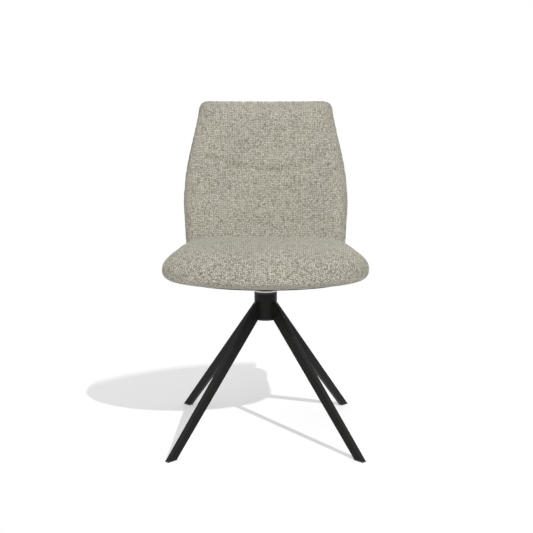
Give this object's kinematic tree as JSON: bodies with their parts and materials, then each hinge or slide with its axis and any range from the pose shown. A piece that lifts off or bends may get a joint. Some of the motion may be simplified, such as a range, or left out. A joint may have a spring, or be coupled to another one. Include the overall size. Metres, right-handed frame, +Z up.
{
  "type": "swivel dining chair",
  "caption": "Armless swivel dining chair with a crowned upholstered seat, a curved padded back and a black steel base of splayed tapered legs.",
  "frame": {"origin": "on the floor, under the swivel axis, which is the middle of the chair's length and width", "axes": "+Z up along the swivel axis; -Y is the way the sitter faces; +X is to the right as seen from the front; left and right in the names are as seen from the front"},
  "size_m": [0.5166, 0.5859, 0.8893],
  "materials": {
    "black_steel": "matt powder coat",
    "glide_plastic": "moulded",
    "bushing_plastic": "moulded",
    "cage_plastic": "moulded",
    "bright_steel": "zinc plated",
    "ball_steel": "polished",
    "plywood": "birch plywood, raw",
    "cover_cloth": "beige-grey melange weave",
    "dust_cloth": "black non-woven"
  },
  "bodies": {
    "base": {"hub_tube": "black_steel", "leg_rear_right": "black_steel", "leg_rear_left": "black_steel", "leg_front_left": "black_steel", "leg_front_right": "black_steel", "foot_glide_rear_right": "glide_plastic", "foot_glide_rear_left": "glide_plastic", "foot_glide_front_left": "glide_plastic", "foot_glide_front_right": "glide_plastic", "hub_bottom_cap": "glide_plastic", "upper_bushing": "bushing_plastic", "lower_bushing": "bushing_plastic", "bearing_lower_race": "bright_steel", "bearing_balls": "ball_steel", "bearing_ball_cage": "cage_plastic"},
    "seat": {"bearing_upper_race": "bright_steel", "swivel_ring": "bright_steel", "swivel_post": "black_steel", "post_retaining_washer": "bright_steel", "post_circlip": "bright_steel", "mounting_plate": "black_steel", "plate_bolts": "bright_steel", "strap_seat_bolts": "bright_steel", "strap_back_bolts": "bright_steel", "seat_tee_nuts": "bright_steel", "back_tee_nuts": "bright_steel", "seat_board": "plywood", "seat_dust_cover": "dust_cloth", "seat_cushion": "cover_cloth", "back_board": "plywood", "back_pad": "cover_cloth", "back_rear_panel": "cover_cloth", "back_strap_left": "black_steel", "back_strap_right": "black_steel"}
  },
  "joints": [
    {"name": "seat_swivel", "type": "hinge", "parent": "base", "child": "seat", "pos_m": [0, 0, 0], "axis": [0, 0, 1], "continuous": true}
  ]
}
